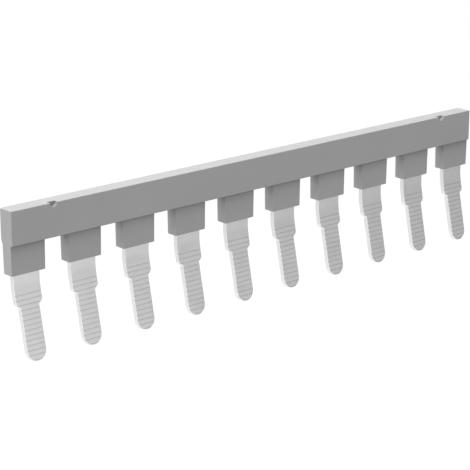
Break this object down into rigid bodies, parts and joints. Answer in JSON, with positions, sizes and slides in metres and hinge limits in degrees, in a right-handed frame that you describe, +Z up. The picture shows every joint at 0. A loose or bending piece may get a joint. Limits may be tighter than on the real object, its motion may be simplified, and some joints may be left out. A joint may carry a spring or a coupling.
{
  "type": "terminal jumper",
  "caption": "Flat insulated bar with a row of teeth, each with a grooved metal prong leaning forward, that plugs in to join neighbouring rail terminal blocks.",
  "frame": {"origin": "middle of the row of prongs, level with the teeth's undersides and in the middle of the comb's sheet", "axes": "+X along the bar, -Y towards the front, where the prongs lean, +Z up from the prongs to the bar"},
  "size_m": [0.0594, 0.0025, 0.0141],
  "materials": {
    "grey_polyamide": "moulded, fine matt texture",
    "tinned_copper": "stamped sheet, matt tin plating"
  },
  "bodies": {
    "root": {"housing": "grey_polyamide", "contact_comb": "tinned_copper"}
  },
  "joints": []
}
